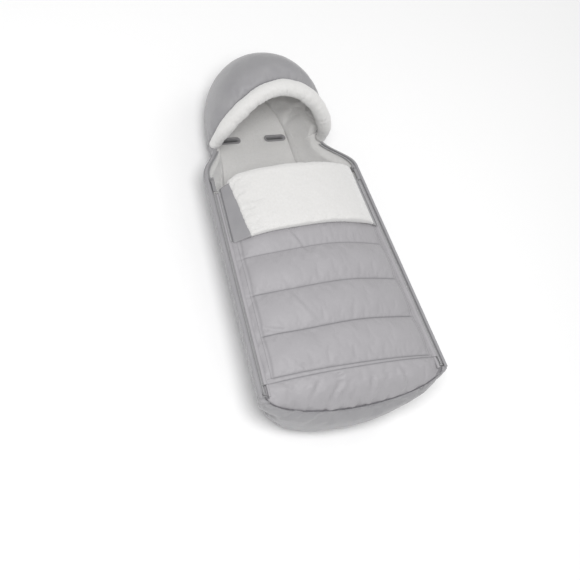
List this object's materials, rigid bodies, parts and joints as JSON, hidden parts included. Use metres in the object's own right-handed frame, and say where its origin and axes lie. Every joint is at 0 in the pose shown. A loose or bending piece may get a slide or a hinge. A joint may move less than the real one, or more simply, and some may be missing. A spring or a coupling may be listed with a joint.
{
  "type": "stroller footmuff",
  "caption": "Padded stroller footmuff: plush-lined tub with a hood, a quilted cover that unzips down its sides and opens over the toe, its top turned down as a flap.",
  "frame": {"origin": "centre of the bounding box's footprint, on the underside of the back panel", "axes": "+Y towards the head, +Z out of the open front, +X to the right seen from the toe; it lies on its back"},
  "size_m": [0.4804, 0.9672, 0.2785],
  "materials": {
    "shell_cloth": "smooth woven polyester",
    "side_cloth": "matt woven polyester",
    "plush": "short pile plush",
    "batting": "loose polyester fill",
    "trim": "woven tape",
    "zip_coil": "nylon coil",
    "elastic": "braided elastic",
    "nickel": "nickel plated"
  },
  "bodies": {
    "tub": {"back_shell": "side_cloth", "back_batting": "batting", "back_lining": "plush", "wall_left_shell": "side_cloth", "wall_left_batting": "batting", "wall_left_lining": "plush", "wall_right_shell": "side_cloth", "wall_right_batting": "batting", "wall_right_lining": "plush", "toe_gusset_shell": "side_cloth", "toe_gusset_batting": "batting", "toe_gusset_lining": "plush", "toe_panel_shell": "shell_cloth", "toe_panel_batting": "batting", "toe_panel_lining": "plush", "toe_seam_binding": "trim", "hood_shell": "side_cloth", "hood_batting": "batting", "hood_lining": "plush", "hood_rim": "plush", "hood_elastic": "elastic", "shoulder_slot_left_binding": "trim", "shoulder_slot_right_binding": "trim", "waist_slot_left_binding": "trim", "waist_slot_right_binding": "trim", "crotch_slot_binding": "trim", "tub_zip_tape_left": "trim", "tub_zip_tape_right": "trim", "tub_zip_coil_left": "zip_coil", "tub_zip_coil_right": "zip_coil", "zip_stop_left": "nickel", "zip_stop_right": "nickel"},
    "cover": {"cover_shell": "shell_cloth", "cover_pad_1": "batting", "cover_pad_2": "batting", "cover_pad_3": "batting", "cover_pad_4": "batting", "cover_pad_5": "batting", "cover_lining": "plush", "cover_zip_tape_left": "trim", "cover_zip_tape_right": "trim", "cover_zip_coil_left": "zip_coil", "cover_zip_coil_right": "zip_coil"},
    "flap": {"flap_plush": "plush", "flap_batting": "batting", "flap_shell": "shell_cloth", "flap_border_left": "side_cloth", "flap_border_right": "side_cloth", "flap_zip_tape_left": "trim", "flap_zip_tape_right": "trim", "flap_zip_coil_left": "zip_coil", "flap_zip_coil_right": "zip_coil"},
    "slider_left": {"slider_left": "nickel"},
    "slider_right": {"slider_right": "nickel"},
    "pull_left": {"pull_left": "nickel"},
    "pull_right": {"pull_right": "nickel"}
  },
  "joints": [
    {"name": "cover_hinge", "type": "hinge", "parent": "tub", "child": "cover", "pos_m": [0, -0.38342, 0.219], "axis": [1, 0, 0], "range_deg": [0, 165]},
    {"name": "flap_fold", "type": "hinge", "parent": "cover", "child": "flap", "pos_m": [0, 0.11119, 0.14234], "axis": [-1, 0, 0], "range_deg": [0, 120]},
    {"name": "slider_left_slide", "type": "slide", "parent": "tub", "child": "slider_left", "axis": [-0.0618, -0.9952, 0.0754], "range_m": [0, 0.5421]},
    {"name": "pull_left_hinge", "type": "hinge", "parent": "slider_left", "child": "pull_left", "pos_m": [-0.19122, 0.14408, 0.14335], "axis": [-1, 0, 0], "range_deg": [0, 170]},
    {"name": "slider_right_slide", "type": "slide", "parent": "tub", "child": "slider_right", "axis": [0.0618, -0.9952, 0.0754], "range_m": [0, 0.5421]},
    {"name": "pull_right_hinge", "type": "hinge", "parent": "slider_right", "child": "pull_right", "pos_m": [0.19122, 0.14408, 0.14335], "axis": [-1, 0, 0], "range_deg": [0, 170]}
  ]
}
